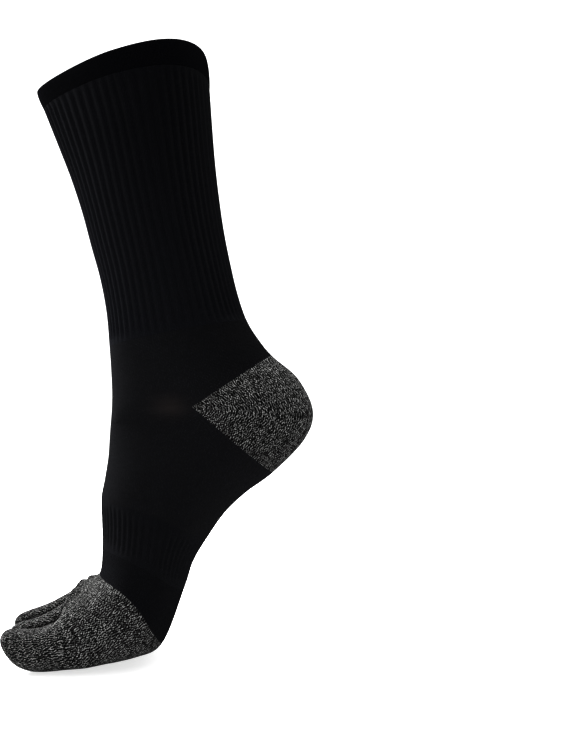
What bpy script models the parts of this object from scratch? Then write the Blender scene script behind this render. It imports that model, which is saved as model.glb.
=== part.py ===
"""One toe sock in its worn form: cuff, ribbed leg, plain ankle, heel wedge, arch rib, forefoot, five toes.

The sock is one bent knitted tube. Each row of STATIONS is one ring of that tube, read in the side plane
(+X to the heel, +Z up, medial side to -Y), and each sub-part is the wall between two of those rings.
"""
import math

import bmesh
import bpy
from mathutils import Vector

for old in list(bpy.data.objects):
    bpy.data.objects.remove(old, do_unlink=True)

# Driving sizes, metres
SOCK_HEIGHT = 0.376        # middle of the leg opening down to the sole
SOCK_LENGTH = 0.197         # toe tips to the back of the heel, level
FOOT_WIDTH = 0.103         # across the ball of the foot
CUFF_WALL = 0.0024         # folded double welt
LEG_WALL = 0.0020          # ribbed knit
FOOT_WALL = 0.0018         # plain knit
TOE_WALL = 0.0016          # toe pockets
RIB_COUNT = 52             # ribs around the leg and around the arch
RIB_RELIEF = 0.0006        # crest to groove of one rib
PIECE_GAP = 0.0003         # clear line between two neighbouring sub-parts
VALLEY_DEPTH = 0.0055      # dip between two toes where the pockets begin

# One ring of the sock per row. Along X: shares of SOCK_LENGTH. Down (drop): shares of SOCK_HEIGHT.
# Across Y: shares of FOOT_WIDTH. lean tips the ring sideways, sweep turns it about the vertical,
# square and sole_square are the oval's exponents in front and behind, egg widens the back or sole side.
COLUMNS = (
    "name",
    "front_x", "front_drop", "side_x", "side_drop", "back_x", "back_drop",
    "middle_y", "half_width", "lean", "sweep", "square", "sole_square", "egg",
)
STATIONS = (
    ("rim", -0.272, 0.027, 0.000, 0.000, 0.272, -0.027, 0.000, 0.524, -0.05, 0.00, 1.65, 2.40, 0.34),
    ("cuff_low", -0.248, 0.058, 0.015, 0.037, 0.279, 0.016, -0.010, 0.515, -0.06, 0.00, 1.70, 2.30, 0.31),
    ("calf_a", -0.202, 0.117, 0.047, 0.100, 0.289, 0.084, -0.029, 0.500, -0.08, 0.00, 1.80, 2.15, 0.21),
    ("calf_b", -0.157, 0.176, 0.073, 0.161, 0.299, 0.146, -0.049, 0.481, -0.09, 0.00, 1.90, 2.05, 0.19),
    ("calf_c", -0.119, 0.234, 0.097, 0.219, 0.312, 0.205, -0.068, 0.456, -0.08, 0.00, 2.00, 2.00, 0.16),
    ("calf_d", -0.089, 0.290, 0.120, 0.276, 0.328, 0.262, -0.087, 0.427, -0.07, 0.00, 2.00, 2.00, 0.13),
    ("calf_e", -0.059, 0.344, 0.144, 0.331, 0.349, 0.317, -0.107, 0.398, -0.06, 0.00, 2.05, 2.05, 0.09),
    ("calf_f", -0.038, 0.399, 0.165, 0.384, 0.373, 0.369, -0.126, 0.364, -0.05, 0.00, 2.10, 2.10, 0.05),
    ("rib_end", -0.028, 0.455, 0.185, 0.433, 0.402, 0.412, -0.136, 0.335, -0.03, 0.00, 2.10, 2.10, 0.01),
    ("ankle", -0.022, 0.496, 0.230, 0.486, 0.443, 0.446, -0.146, 0.330, -0.02, 0.00, 2.15, 2.15, -0.04),
    ("heel_top", -0.019, 0.527, 0.236, 0.533, 0.484, 0.471, -0.146, 0.340, 0.00, 0.00, 2.20, 2.20, -0.06),
    ("heel_high", -0.019, 0.543, 0.239, 0.544, 0.562, 0.507, -0.146, 0.340, 0.00, 0.00, 2.20, 2.20, -0.04),
    ("heel", -0.020, 0.560, 0.242, 0.552, 0.609, 0.560, -0.146, 0.335, 0.00, 0.00, 2.25, 2.25, 0.00),
    ("heel_low", -0.023, 0.578, 0.245, 0.560, 0.581, 0.607, -0.146, 0.330, 0.00, 0.00, 2.25, 2.25, 0.02),
    ("heel_end", -0.026, 0.596, 0.239, 0.571, 0.484, 0.660, -0.146, 0.325, 0.00, 0.00, 2.25, 2.25, 0.05),
    ("instep", -0.031, 0.634, 0.200, 0.619, 0.399, 0.693, -0.146, 0.335, 0.00, 0.00, 2.20, 2.20, 0.07),
    ("waist", -0.041, 0.668, 0.159, 0.669, 0.333, 0.726, -0.146, 0.350, 0.00, 0.00, 2.20, 2.20, 0.08),
    ("arch_start", -0.052, 0.701, 0.121, 0.720, 0.278, 0.767, -0.146, 0.369, 0.00, 0.00, 2.20, 2.20, 0.08),
    ("arch_mid", -0.050, 0.739, 0.111, 0.759, 0.234, 0.806, -0.146, 0.393, 0.00, 0.00, 2.20, 2.20, 0.08),
    ("arch_end", -0.048, 0.777, 0.097, 0.799, 0.208, 0.847, -0.146, 0.422, 0.01, -0.01, 2.20, 2.30, 0.08),
    ("ball", -0.056, 0.821, 0.064, 0.849, 0.145, 0.931, -0.146, 0.461, 0.02, -0.03, 2.30, 2.60, 0.08),
    ("knuckle", -0.097, 0.842, -0.004, 0.873, 0.076, 0.948, -0.146, 0.490, 0.06, 0.02, 2.40, 3.00, 0.05),
    ("toe_root", -0.134, 0.843, -0.080, 0.903, -0.046, 0.953, -0.146, 0.500, 0.11, 0.10, 2.50, 3.20, 0.02),
)
ROW = {row[0]: index for index, row in enumerate(STATIONS)}

# The heel wedge in the side plane: its point on the ankle and where its two edges run out behind the heel.
WEDGE_TIP = (0.243, 0.550)
WEDGE_UPPER = (0.860, 0.335)
WEDGE_LOWER = (0.860, 0.832)

# Toe pockets. from_u, to_u: the slice of the toe_root ring, -1 medial to +1 lateral. tip_x: share of
# SOCK_LENGTH. height, drift, dip: shares of FOOT_WIDTH, with drift the sideways run from root to tip and
# dip the fall of the pad half way along. arch: how far the toe's knuckle stands up. lift: how far the end
# turns up, as a share of the toe's height. fall: how soon the top drops from the instep to the toe's height.
TOE_COLUMNS = ("name", "from_u", "to_u", "tip_x", "height", "drift", "dip", "arch", "lift", "fall", "segments")
TOES = (
    ("big_toe", -1.000, -0.392, -0.326, 0.226, -0.012, 0.008, 0.0, 0.14, 3.6, 7),
    ("second_toe", -0.392, 0.029, -0.330, 0.223, -0.008, 0.012, 0.9, 0.00, 1.9, 4),
    ("third_toe", 0.029, 0.392, -0.337, 0.211, -0.004, 0.001, 1.0, 0.02, 1.8, 4),
    ("fourth_toe", 0.392, 0.716, -0.276, 0.200, -0.010, 0.010, 1.0, 0.00, 1.8, 4),
    ("little_toe", 0.716, 1.000, -0.208, 0.185, -0.008, 0.010, 0.8, 0.00, 1.8, 5),
)
WALL_SEGMENTS = 4

# One toe pocket from its root to its tip: along as a share of its length, top and bottom as shares of its
# height, knuckle added to the top of an arched toe, width as a share of its slice, round from the slice
# outline (0) to a free oval (1).
TOE_PROFILE = (
    (0.12, 1.00, 0.00, 0.14, 0.972, 0.30),
    (0.34, 1.00, -0.03, 0.12, 0.930, 0.96),
    (0.58, 0.99, -0.02, 0.04, 0.950, 1.00),
    (0.76, 0.97, 0.06, 0.01, 0.940, 1.00),
    (0.89, 0.92, 0.20, 0.00, 0.830, 1.00),
    (0.97, 0.82, 0.40, 0.00, 0.560, 1.00),
)
TOE_TIP_HEIGHT = 0.61


def column(row, name):
    return STATIONS[row][COLUMNS.index(name)]


def blend(name, position):
    """One column between two rows, smooth through all rows."""
    last = len(STATIONS) - 1
    low = min(int(math.floor(position)), last - 1)
    part = position - low
    before = column(max(low - 1, 0), name)
    first = column(low, name)
    second = column(low + 1, name)
    after = column(min(low + 2, last), name)
    slope_a = (second - before) / 2
    slope_b = (after - first) / 2
    p2 = part * part
    p3 = p2 * part
    value = (2 * p3 - 3 * p2 + 1) * first + (p3 - 2 * p2 + part) * slope_a
    return value + (3 * p2 - 2 * p3) * second + (p3 - p2) * slope_b


def ring_point(position, angle):
    """A point of the outer skin: angle 0 is the front or instep, 180 degrees the back or sole."""
    front = Vector((blend("front_x", position) * SOCK_LENGTH, -blend("front_drop", position) * SOCK_HEIGHT))
    side = Vector((blend("side_x", position) * SOCK_LENGTH, -blend("side_drop", position) * SOCK_HEIGHT))
    back = Vector((blend("back_x", position) * SOCK_LENGTH, -blend("back_drop", position) * SOCK_HEIGHT))
    cosine = math.cos(angle)
    sine = math.sin(angle)
    power = 2 / blend("square" if cosine > 0 else "sole_square", position)
    along = math.copysign(abs(cosine) ** power, cosine)
    across = math.copysign(abs(sine) ** power, sine)
    path = side + (front - back) * (along / 2) + ((front + back) / 2 - side) * along * along
    offset = blend("half_width", position) * FOOT_WIDTH * across * (1 - blend("egg", position) * along)
    x = path.x + blend("sweep", position) * offset
    z = path.y + blend("lean", position) * offset
    return Vector((x, blend("middle_y", position) * FOOT_WIDTH + offset, z))


def even_angles(count):
    return [2 * math.pi * k / count for k in range(count)]


def slice_angles():
    """Angles of the forefoot rings, so that every toe pocket begins on a whole number of them."""
    half = []
    for kind in ("square", "sole_square"):
        power = column(-1, kind) / 2
        marks = [math.copysign(math.asin(abs(toe[1]) ** power), toe[1]) for toe in TOES] + [math.pi / 2]
        line = []
        for number, toe in enumerate(TOES):
            steps = toe[TOE_COLUMNS.index("segments")]
            for step in range(steps):
                line.append(marks[number] + (marks[number + 1] - marks[number]) * step / steps)
        half.append(line)
    top, sole = half
    return top + [math.pi - angle for angle in [math.pi / 2] + sole[:0:-1]]


def skin(start, end, count_or_angles, steps):
    """Rings of outer points between two positions, and the outward direction at each of them."""
    angles = even_angles(count_or_angles) if isinstance(count_or_angles, int) else count_or_angles
    rings = []
    dirs = []
    for step in range(steps + 1):
        position = start + (end - start) * step / steps
        ring = [ring_point(position, angle) for angle in angles]
        last = len(STATIONS) - 1
        below = [ring_point(max(position - 0.05, 0.0), angle) for angle in angles]
        above = [ring_point(min(position + 0.05, last), angle) for angle in angles]
        rings.append(ring)
        dirs.append(facing_out(ring, below, above))
    return rings, dirs


def facing_out(ring, below, above):
    """Outward direction at every point of one ring, from its neighbours around and along the tube."""
    count = len(ring)
    centre = sum(ring, Vector()) / count
    line = []
    for k in range(count):
        around = ring[(k + 1) % count] - ring[k - 1]
        along = above[k] - below[k]
        line.append(around.cross(along).normalized())
    outward = sum(n.dot(p - centre) for n, p in zip(line, ring)) > 0
    return line if outward else [-n for n in line]


def draw_in(rings, at_start, at_end):
    """Moves the end rings along the wall, so that neighbours stay clear of each other."""
    first = [a + (b - a).normalized() * PIECE_GAP / 2 for a, b in zip(rings[0], rings[1])]
    last = [a + (b - a).normalized() * PIECE_GAP / 2 for a, b in zip(rings[-1], rings[-2])]
    if at_start:
        rings[0] = first
    if at_end:
        rings[-1] = last
    return rings


def stack_dirs(rings):
    """Outward directions of a free stack of rings."""
    last = len(rings) - 1
    dirs = []
    for row, ring in enumerate(rings):
        dirs.append(facing_out(ring, rings[max(row - 1, 0)], rings[min(row + 1, last)]))
    return dirs


def material(name, colour, roughness):
    surface = bpy.data.materials.new(name)
    surface.use_nodes = True
    shader = surface.node_tree.nodes["Principled BSDF"]
    shader.inputs["Base Color"].default_value = (*colour, 1.0)
    shader.inputs["Roughness"].default_value = roughness
    return surface


def wall(name, outer, out_dirs, thickness, surface, relief=None, tip=None):
    """A closed cloth wall: outer rings, inner rings and the two rims, or a closed tip."""
    inner = [[p - n * thickness for p, n in zip(ring, line)] for ring, line in zip(outer, out_dirs)]
    if relief:
        ribbed = []
        for ring, line in zip(outer, out_dirs):
            ribbed.append([p - n * (relief if k % 2 else 0.0) for k, (p, n) in enumerate(zip(ring, line))])
        outer = ribbed
    mesh = bmesh.new()
    count = len(outer[0])
    out_verts = [[mesh.verts.new(p) for p in ring] for ring in outer]
    in_verts = [[mesh.verts.new(p) for p in ring] for ring in inner]
    for k in range(count):
        n = (k + 1) % count
        for row in range(len(outer) - 1):
            mesh.faces.new((out_verts[row][k], out_verts[row][n], out_verts[row + 1][n], out_verts[row + 1][k]))
            mesh.faces.new((in_verts[row][n], in_verts[row][k], in_verts[row + 1][k], in_verts[row + 1][n]))
        mesh.faces.new((out_verts[0][n], out_verts[0][k], in_verts[0][k], in_verts[0][n]))
        if tip is None:
            mesh.faces.new((out_verts[-1][k], out_verts[-1][n], in_verts[-1][n], in_verts[-1][k]))
    if tip is not None:
        inward = (sum(inner[-1], Vector()) / count - tip).normalized()
        out_pole = mesh.verts.new(tip)
        in_pole = mesh.verts.new(tip + inward * thickness)
        for k in range(count):
            n = (k + 1) % count
            mesh.faces.new((out_verts[-1][k], out_verts[-1][n], out_pole))
            mesh.faces.new((in_verts[-1][n], in_verts[-1][k], in_pole))
    bmesh.ops.recalc_face_normals(mesh, faces=mesh.faces)
    data = bpy.data.meshes.new(name)
    mesh.to_mesh(data)
    mesh.free()
    piece = bpy.data.objects.new(name, data)
    piece.data.materials.append(surface)
    bpy.context.scene.collection.objects.link(piece)
    data.shade_smooth()
    data.set_sharp_from_angle(angle=math.radians(42))
    return piece


def wedge_prism(name, grow):
    """The heel wedge drawn in the side plane and run through the whole width; grow moves its two edges out."""
    tip = Vector((WEDGE_TIP[0] * SOCK_LENGTH, -WEDGE_TIP[1] * SOCK_HEIGHT))
    upper = Vector((WEDGE_UPPER[0] * SOCK_LENGTH, -WEDGE_UPPER[1] * SOCK_HEIGHT))
    lower = Vector((WEDGE_LOWER[0] * SOCK_LENGTH, -WEDGE_LOWER[1] * SOCK_HEIGHT))
    up_edge = (upper - tip).normalized()
    low_edge = (lower - tip).normalized()
    half = up_edge.angle(low_edge) / 2
    back = (up_edge + low_edge).normalized()
    shift = -back * (grow / math.sin(half))
    corners = [tip + shift, upper + shift, lower + shift]
    mesh = bmesh.new()
    near = [mesh.verts.new((p.x, -FOOT_WIDTH, p.y)) for p in corners]
    far = [mesh.verts.new((p.x, FOOT_WIDTH, p.y)) for p in corners]
    mesh.faces.new(near)
    mesh.faces.new(far[::-1])
    for k in range(3):
        n = (k + 1) % 3
        mesh.faces.new((near[k], far[k], far[n], near[n]))
    bmesh.ops.recalc_face_normals(mesh, faces=mesh.faces)
    data = bpy.data.meshes.new(name)
    mesh.to_mesh(data)
    mesh.free()
    cutter = bpy.data.objects.new(name, data)
    cutter.hide_render = True
    cutter.display_type = "WIRE"
    bpy.context.scene.collection.objects.link(cutter)
    return cutter


def cut(piece, operation, cutter):
    modifier = piece.modifiers.new("wedge", "BOOLEAN")
    modifier.operation = operation
    modifier.solver = "EXACT"
    modifier.object = cutter


def valley(angle):
    """Depth of the dip between toes at an angle of the toe_root ring, 0 on a toe's ridge, 1 between two."""
    power = 2 / column(-1, "square" if math.cos(angle) > 0 else "sole_square")
    share = math.copysign(abs(math.sin(angle)) ** power, math.sin(angle))
    for number, toe in enumerate(TOES):
        low, high = toe[1], toe[2]
        if low - 1e-6 <= share <= high + 1e-6:
            middle = (low + high) / 2
            offset = (share - middle) / ((high - low) / 2)
            outer_side = (number == 0 and offset < 0) or (number == len(TOES) - 1 and offset > 0)
            return 0.0 if outer_side else abs(offset) ** 2.4
    return 0.0


def forefoot_rings(steps):
    """Marl forefoot from the ball to the toe roots, with the dips between the toes growing in."""
    angles = slice_angles()
    rings, dirs = skin(ROW["ball"], ROW["toe_root"], angles, steps)
    for row, ring in enumerate(rings):
        fade = max(0.0, (row / steps - 0.40) / 0.60) ** 1.6
        centre = sum(ring, Vector()) / len(ring)
        for k, angle in enumerate(angles):
            toward = (Vector((ring[k].x, ring[k].y, centre.z)) - ring[k]).normalized()
            ring[k] = ring[k] + toward * VALLEY_DEPTH * fade * valley(angle)
    return rings, dirs


def toe_rings(number, root_ring, root_dirs, root_ahead):
    """Outer rings of one toe pocket, their outward directions and the tip point."""
    name, from_u, to_u, tip_x, height, drift, dip, arch, lift, fall, steps = TOES[number]
    first = sum(toe[TOE_COLUMNS.index("segments")] for toe in TOES[:number])
    total = len(root_ring)
    top = [root_ring[(first + k) % total] for k in range(steps + 1)]
    sole = [root_ring[(total - first - k) % total] for k in range(steps + 1)]
    is_first = number == 0
    is_last = number == len(TOES) - 1
    clear = Vector((0, PIECE_GAP * 0.7, 0))
    if not is_first:
        top[0] = top[0] + clear
        sole[0] = sole[0] + clear
    if not is_last:
        top[-1] = top[-1] - clear
        sole[-1] = sole[-1] - clear
    cell = list(top)
    corner = 45.0
    start = -90.0 if is_first else -corner
    stop = 90.0 if is_last else corner
    turns = [start + (stop - start) * k / steps for k in range(steps + 1)]
    if not is_last:
        for k in range(1, WALL_SEGMENTS):
            part = k / WALL_SEGMENTS
            cell.append(top[-1].lerp(sole[-1], part))
            turns.append(corner + (180 - 2 * corner) * part)
        cell.extend(sole[::-1])
        turns.extend([180 - stop + (stop - start) * k / steps for k in range(steps + 1)])
    else:
        cell.extend(sole[::-1][1:])
        turns.extend([180 - stop + (stop - start) * k / steps for k in range(1, steps + 1)])
    if not is_first:
        for k in range(1, WALL_SEGMENTS):
            part = k / WALL_SEGMENTS
            cell.append(sole[0].lerp(top[0], part))
            turns.append(180 + corner + (180 - 2 * corner) * part)
    else:
        cell.pop()
        turns.pop()
    base_z = min(p.z for p in cell)
    root_top = max(p.z for p in cell) - base_z
    middle = sum(cell, Vector()) / len(cell)
    low_y = min(p.y for p in cell)
    high_y = max(p.y for p in cell)
    half = (high_y - low_y) / 2
    tall = height * FOOT_WIDTH
    length = middle.x - tip_x * SOCK_LENGTH
    rings = [list(cell)]
    for along, top_share, low_share, knuckle, width, free in TOE_PROFILE:
        fade = max(0.0, 1 - along) ** fall
        sag = dip * FOOT_WIDTH * 4 * along * (1 - along) - tall * lift * along ** 6
        crown = tall * (top_share + knuckle * arch)
        high_z = base_z + crown + (root_top - tall * (1 + 0.14 * arch)) * fade - sag
        low_z = base_z + tall * low_share - sag
        centre = Vector((middle.x - length * along, (low_y + high_y) / 2 + drift * FOOT_WIDTH * along, 0))
        half_z = (high_z - low_z) / 2
        centre.z = low_z + half_z
        ring = []
        for p, turn in zip(cell, turns):
            angle = math.radians(turn)
            oval_y = math.copysign(abs(math.sin(angle)) ** 0.92, math.sin(angle)) * half * width
            oval_z = math.copysign(abs(math.cos(angle)) ** 0.92, math.cos(angle)) * half_z
            oval = centre + Vector((0, oval_y, oval_z))
            flat_y = (p.y - (low_y + high_y) / 2) * width
            flat_z = (p.z - base_z) / root_top * 2 * half_z - half_z
            held = centre + Vector(((p.x - middle.x) * (1 - along) ** 2, flat_y, flat_z))
            ring.append(held.lerp(oval, free))
        rings.append(ring)
    tip_z = base_z + tall * (TOE_TIP_HEIGHT + lift)
    tip = Vector((tip_x * SOCK_LENGTH, (low_y + high_y) / 2 + drift * FOOT_WIDTH, tip_z))
    dirs = stack_dirs(rings)
    for k, p in enumerate(cell):
        nearest = min(range(total), key=lambda r: (root_ring[r] - p).length)
        if (root_ring[nearest] - p).length < 1e-6:
            dirs[0][k] = root_dirs[nearest]
        elif (root_ring[nearest] - p).length < PIECE_GAP:
            dirs[0][k] = (dirs[0][k] + root_dirs[nearest]).normalized()
        rings[0][k] = p + root_ahead[nearest] * PIECE_GAP * 2.0
    return rings, dirs, tip


black_welt = material("black_welt_knit", (0.010, 0.010, 0.011), 0.88)
black_rib = material("black_rib_knit", (0.009, 0.009, 0.010), 0.90)
black_plain = material("black_plain_knit", (0.011, 0.011, 0.012), 0.86)
marl = material("grey_marl_knit", (0.055, 0.055, 0.057), 0.92)

# Cuff: plain double welt around the leg opening
rings, dirs = skin(ROW["rim"], ROW["cuff_low"], RIB_COUNT, 2)
wall("cuff", draw_in(rings, False, True), dirs, CUFF_WALL, black_welt)

# Leg: rib knit from the cuff to above the ankle
rings, dirs = skin(ROW["cuff_low"], ROW["rib_end"], 2 * RIB_COUNT, 6)
wall("leg", draw_in(rings, True, True), dirs, LEG_WALL, black_rib, relief=RIB_RELIEF)

# Ankle: plain knit from the rib to the arch, with the heel wedge cut out of it
rings, dirs = skin(ROW["rib_end"], ROW["arch_start"], 40, 14)
ankle = wall("ankle", draw_in(rings, True, True), dirs, FOOT_WALL, black_plain)
cut(ankle, "DIFFERENCE", wedge_prism("wedge_outer", PIECE_GAP / 2))

# Heel: marl wedge that turns the tube
rings, dirs = skin(ROW["rib_end"] + 0.5, ROW["instep"] + 0.5, 40, 11)
heel = wall("heel", rings, dirs, FOOT_WALL, marl)
cut(heel, "INTERSECT", wedge_prism("wedge_inner", -PIECE_GAP / 2))

# Arch band: rib knit that grips the instep
rings, dirs = skin(ROW["arch_start"], ROW["arch_end"], 2 * RIB_COUNT, 2)
wall("arch_band", draw_in(rings, True, True), dirs, FOOT_WALL, black_rib, relief=RIB_RELIEF)

# Ball band: plain black ring between the arch rib and the marl
rings, dirs = skin(ROW["arch_end"], ROW["ball"], slice_angles(), 2)
wall("ball_band", draw_in(rings, True, True), dirs, FOOT_WALL, black_plain)

# Forefoot: marl tube from the ball to where the toe pockets begin
rings, dirs = forefoot_rings(5)
root = list(rings[-1])
root_dirs = dirs[-1]
root_ahead = [(a - b).normalized() for a, b in zip(rings[-1], rings[-2])]
wall("forefoot", draw_in(rings, True, True), dirs, FOOT_WALL, marl)

# Toe pockets: five closed tubes, one to a toe
for number, toe in enumerate(TOES):
    toe_skin, toe_dirs, toe_tip = toe_rings(number, root, root_dirs, root_ahead)
    wall(toe[0], toe_skin, toe_dirs, TOE_WALL, marl, tip=toe_tip)
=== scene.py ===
# %% [markdown]
# # A toe sock, knitted in Blender
# The real sock is one knitted tube: a folded cuff, a ribbed leg, a plain ankle, a grey heel wedge, a ribbed
# grip around the arch, and a grey forefoot that splits into five pockets. It was pulled over a raised foot,
# so it has that form here. First the imported model is loaded.

# %% Load the imported model
import math

import bpy
import numpy as np
from mathutils.kdtree import KDTree
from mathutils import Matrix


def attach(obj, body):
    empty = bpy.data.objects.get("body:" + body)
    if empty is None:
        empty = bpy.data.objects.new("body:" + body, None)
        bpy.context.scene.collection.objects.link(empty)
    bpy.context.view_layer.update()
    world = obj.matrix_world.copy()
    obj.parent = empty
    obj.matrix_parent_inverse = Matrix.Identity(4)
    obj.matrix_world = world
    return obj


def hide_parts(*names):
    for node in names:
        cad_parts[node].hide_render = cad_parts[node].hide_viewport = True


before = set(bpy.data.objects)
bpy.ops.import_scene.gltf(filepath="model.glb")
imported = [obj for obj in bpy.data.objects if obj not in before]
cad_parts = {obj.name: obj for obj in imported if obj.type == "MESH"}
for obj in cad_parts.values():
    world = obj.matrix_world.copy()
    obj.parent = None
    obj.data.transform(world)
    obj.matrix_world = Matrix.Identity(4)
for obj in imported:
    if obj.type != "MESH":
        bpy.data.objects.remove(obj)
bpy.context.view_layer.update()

# %% [markdown]
# The form of the worn sock is a short table, one row for each ring of the tube, from the rim to the roots
# of the toes. A ring is read in the side plane at three places: the front or instep, the side, and the back
# or sole. Everything between the rows is a smooth curve, so a few rows carry the whole shape.

# %% The rings of the sock
SOCK_HEIGHT = 0.376
SOCK_LENGTH = 0.197
FOOT_WIDTH = 0.103
RIB_COUNT = 52
COLUMNS = ("front_x", "front_drop", "side_x", "side_drop", "back_x", "back_drop",
           "middle_y", "half_width", "lean", "sweep", "square", "sole_square", "egg")
STATIONS = (
    ("rim", -0.272, 0.027, 0.000, 0.000, 0.272, -0.027, 0.000, 0.524, -0.05, 0.00, 1.65, 2.40, 0.34),
    ("cuff_low", -0.248, 0.058, 0.015, 0.037, 0.279, 0.016, -0.010, 0.515, -0.06, 0.00, 1.70, 2.30, 0.31),
    ("calf_a", -0.202, 0.117, 0.047, 0.100, 0.289, 0.084, -0.029, 0.500, -0.08, 0.00, 1.80, 2.15, 0.21),
    ("calf_b", -0.157, 0.176, 0.073, 0.161, 0.299, 0.146, -0.049, 0.481, -0.09, 0.00, 1.90, 2.05, 0.19),
    ("calf_c", -0.119, 0.234, 0.097, 0.219, 0.312, 0.205, -0.068, 0.456, -0.08, 0.00, 2.00, 2.00, 0.16),
    ("calf_d", -0.089, 0.290, 0.120, 0.276, 0.328, 0.262, -0.087, 0.427, -0.07, 0.00, 2.00, 2.00, 0.13),
    ("calf_e", -0.059, 0.344, 0.144, 0.331, 0.349, 0.317, -0.107, 0.398, -0.06, 0.00, 2.05, 2.05, 0.09),
    ("calf_f", -0.038, 0.399, 0.165, 0.384, 0.373, 0.369, -0.126, 0.364, -0.05, 0.00, 2.10, 2.10, 0.05),
    ("rib_end", -0.028, 0.455, 0.185, 0.433, 0.402, 0.412, -0.136, 0.335, -0.03, 0.00, 2.10, 2.10, 0.01),
    ("ankle", -0.022, 0.496, 0.230, 0.486, 0.443, 0.446, -0.146, 0.330, -0.02, 0.00, 2.15, 2.15, -0.04),
    ("heel_top", -0.019, 0.527, 0.236, 0.533, 0.484, 0.471, -0.146, 0.340, 0.00, 0.00, 2.20, 2.20, -0.06),
    ("heel_high", -0.019, 0.543, 0.239, 0.544, 0.562, 0.507, -0.146, 0.340, 0.00, 0.00, 2.20, 2.20, -0.04),
    ("heel", -0.020, 0.560, 0.242, 0.552, 0.609, 0.560, -0.146, 0.335, 0.00, 0.00, 2.25, 2.25, 0.00),
    ("heel_low", -0.023, 0.578, 0.245, 0.560, 0.581, 0.607, -0.146, 0.330, 0.00, 0.00, 2.25, 2.25, 0.02),
    ("heel_end", -0.026, 0.596, 0.239, 0.571, 0.484, 0.660, -0.146, 0.325, 0.00, 0.00, 2.25, 2.25, 0.05),
    ("instep", -0.031, 0.634, 0.200, 0.619, 0.399, 0.693, -0.146, 0.335, 0.00, 0.00, 2.20, 2.20, 0.07),
    ("waist", -0.041, 0.668, 0.159, 0.669, 0.333, 0.726, -0.146, 0.350, 0.00, 0.00, 2.20, 2.20, 0.08),
    ("arch_start", -0.052, 0.701, 0.121, 0.720, 0.278, 0.767, -0.146, 0.369, 0.00, 0.00, 2.20, 2.20, 0.08),
    ("arch_mid", -0.050, 0.739, 0.111, 0.759, 0.234, 0.806, -0.146, 0.393, 0.00, 0.00, 2.20, 2.20, 0.08),
    ("arch_end", -0.048, 0.777, 0.097, 0.799, 0.208, 0.847, -0.146, 0.422, 0.01, -0.01, 2.20, 2.30, 0.08),
    ("ball", -0.056, 0.821, 0.064, 0.849, 0.145, 0.931, -0.146, 0.461, 0.02, -0.03, 2.30, 2.60, 0.08),
    ("knuckle", -0.097, 0.842, -0.004, 0.873, 0.076, 0.948, -0.146, 0.490, 0.06, 0.02, 2.40, 3.00, 0.05),
    ("toe_root", -0.134, 0.843, -0.080, 0.903, -0.046, 0.953, -0.146, 0.500, 0.11, 0.10, 2.50, 3.20, 0.02),
)
NAMES = [row[0] for row in STATIONS]
TABLE = np.array([row[1:] for row in STATIONS], dtype=float)
LAST = len(NAMES) - 1
print("rings:", len(NAMES), "from", NAMES[0], "to", NAMES[-1])

# %% [markdown]
# Two helpers turn the table into a surface. One reads every column at any place along the tube, and the
# other gives the point of the skin at a place along it and an angle around it: 0 degrees is the instep and
# 180 degrees the sole. Small steps to each side of a point give the direction that faces out.

# %% From the table to a smooth skin
PLACE_STEP = 0.02       # rows of the table
ANGLE_STEP = 0.01       # radians


def read_rows(places):
    """Every column at fractional rows, as a smooth curve through the rows."""
    places = np.clip(np.asarray(places, dtype=float), 0, LAST)
    low = np.minimum(np.floor(places).astype(int), LAST - 1)
    part = (places - low)[:, None]
    before, first = TABLE[np.maximum(low - 1, 0)], TABLE[low]
    second, after = TABLE[low + 1], TABLE[np.minimum(low + 2, LAST)]
    slope_a, slope_b = (second - before) / 2, (after - first) / 2
    p2, p3 = part ** 2, part ** 3
    value = (2 * p3 - 3 * p2 + 1) * first + (p3 - 2 * p2 + part) * slope_a
    value = value + (3 * p2 - 2 * p3) * second + (p3 - p2) * slope_b
    return {name: value[:, k][:, None] for k, name in enumerate(COLUMNS)}


def skin_points(places, angles):
    """Points of the outer skin: one row for each place, one column for each angle."""
    c = read_rows(places)
    angles = np.asarray(angles, dtype=float)[None, :]
    cosine, sine = np.cos(angles), np.sin(angles)
    power = np.where(cosine > 0, 2 / c["square"], 2 / c["sole_square"])
    along = np.sign(cosine) * np.abs(cosine) ** power
    across = np.sign(sine) * np.abs(sine) ** power
    line = {}
    for axis, size in (("x", SOCK_LENGTH), ("drop", -SOCK_HEIGHT)):
        front, side, back = (c[f"{end}_{axis}"] * size for end in ("front", "side", "back"))
        line[axis] = side + (front - back) / 2 * along + ((front + back) / 2 - side) * along ** 2
    offset = c["half_width"] * FOOT_WIDTH * across * (1 - c["egg"] * along)
    x = line["x"] + c["sweep"] * offset
    y = c["middle_y"] * FOOT_WIDTH + offset
    z = line["drop"] + c["lean"] * offset
    return np.stack([x, y, z], axis=-1)


def facing_out(places, angles):
    """Outward directions at the same points."""
    places, angles = np.asarray(places, dtype=float), np.asarray(angles, dtype=float)
    around = skin_points(places, angles + ANGLE_STEP) - skin_points(places, angles - ANGLE_STEP)
    along = skin_points(places + PLACE_STEP, angles) - skin_points(places - PLACE_STEP, angles)
    normal = np.cross(along, around)
    normal /= np.linalg.norm(normal, axis=-1, keepdims=True) + 1e-12
    points = skin_points(places, angles)
    centre = points.mean(axis=1, keepdims=True)
    outward = np.sum(normal * (points - centre)) > 0
    return normal if outward else -normal


def girth_of(ring):
    """Length of a closed line of points, metres."""
    return float(np.linalg.norm(np.diff(ring, axis=0), axis=1).sum())


rim = skin_points([0.0], np.linspace(0, 2 * np.pi, 200))[0]
print("rim girth mm", round(girth_of(rim) * 1000, 1))

# %% [markdown]
# A knitter makes a flat panel of stitches and closes it into a tube, and so do these helpers. The first
# adds a flat grid and lays each of its points on the skin. The grid's own UV map becomes the stitch map:
# one unit across is one wale, a column of stitches, and one unit up is one course, a row of them.

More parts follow.
